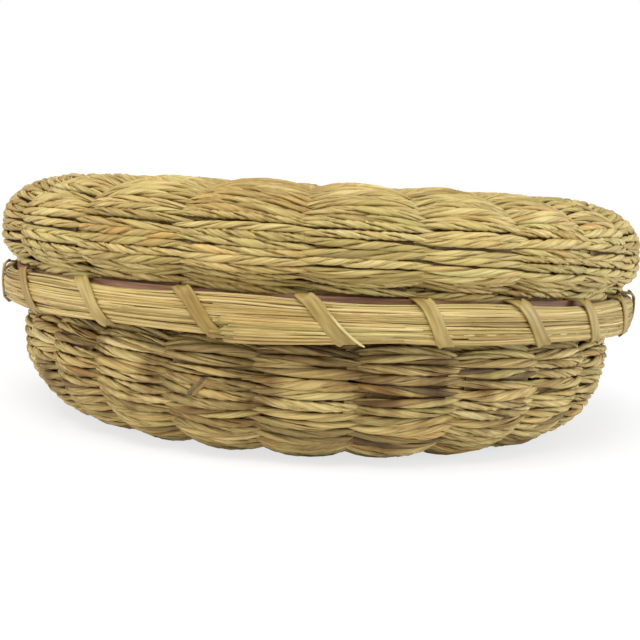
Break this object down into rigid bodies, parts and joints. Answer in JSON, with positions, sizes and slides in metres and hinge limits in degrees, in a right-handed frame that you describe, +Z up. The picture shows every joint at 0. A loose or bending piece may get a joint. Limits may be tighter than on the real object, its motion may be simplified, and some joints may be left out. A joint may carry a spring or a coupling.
{
  "type": "lidded basket",
  "caption": "Low round basket of twined grass weft on crossing ash splints, with lashed rims, a grass bundle round the lid's edge and a lift-off domed lid.",
  "frame": {"origin": "centre of the basket's footprint, on the surface that it stands on", "axes": "+Z up along the basket's axis and the way the lid lifts; -Y is the side the picture shows"},
  "size_m": [0.2004, 0.2006, 0.0726],
  "materials": {
    "basket_grass": "dry twisted grass, olive and brown",
    "lid_grass": "dry twisted grass, straw",
    "rim_grass": "dry straight grass, pale straw",
    "ash": "plain ash splint",
    "brown_ash": "ash splint, reddish brown",
    "lashing": "flat splint strip, olive tan"
  },
  "bodies": {
    "basket": {"basket_splint_01": "ash", "basket_splint_02": "ash", "basket_splint_03": "ash", "basket_splint_04": "ash", "basket_splint_05": "ash", "basket_splint_06": "ash", "basket_splint_07": "ash", "basket_splint_08": "ash", "basket_splint_09": "ash", "basket_splint_10": "ash", "basket_splint_11": "ash", "basket_splint_12": "ash", "basket_floor_weft": "basket_grass", "basket_side_weft": "basket_grass", "basket_inside_weft": "basket_grass", "basket_outer_hoop": "ash", "basket_inner_hoop": "ash", "basket_rim_lashing": "lashing"},
    "lid": {"lid_splint_01": "ash", "lid_splint_02": "ash", "lid_splint_03": "ash", "lid_splint_04": "ash", "lid_splint_05": "ash", "lid_splint_06": "ash", "lid_splint_07": "ash", "lid_splint_08": "ash", "lid_splint_09": "ash", "lid_splint_10": "ash", "lid_splint_11": "ash", "lid_top_weft": "lid_grass", "lid_side_weft": "lid_grass", "lid_inside_weft": "lid_grass", "lid_outer_hoop": "brown_ash", "lid_inner_hoop": "ash", "lid_rim_bundle": "rim_grass", "lid_rim_lashing": "lashing"}
  },
  "joints": [
    {"name": "lid_lift", "type": "slide", "parent": "basket", "child": "lid", "axis": [0, 0, 1], "range_m": [0, 0.06]}
  ]
}
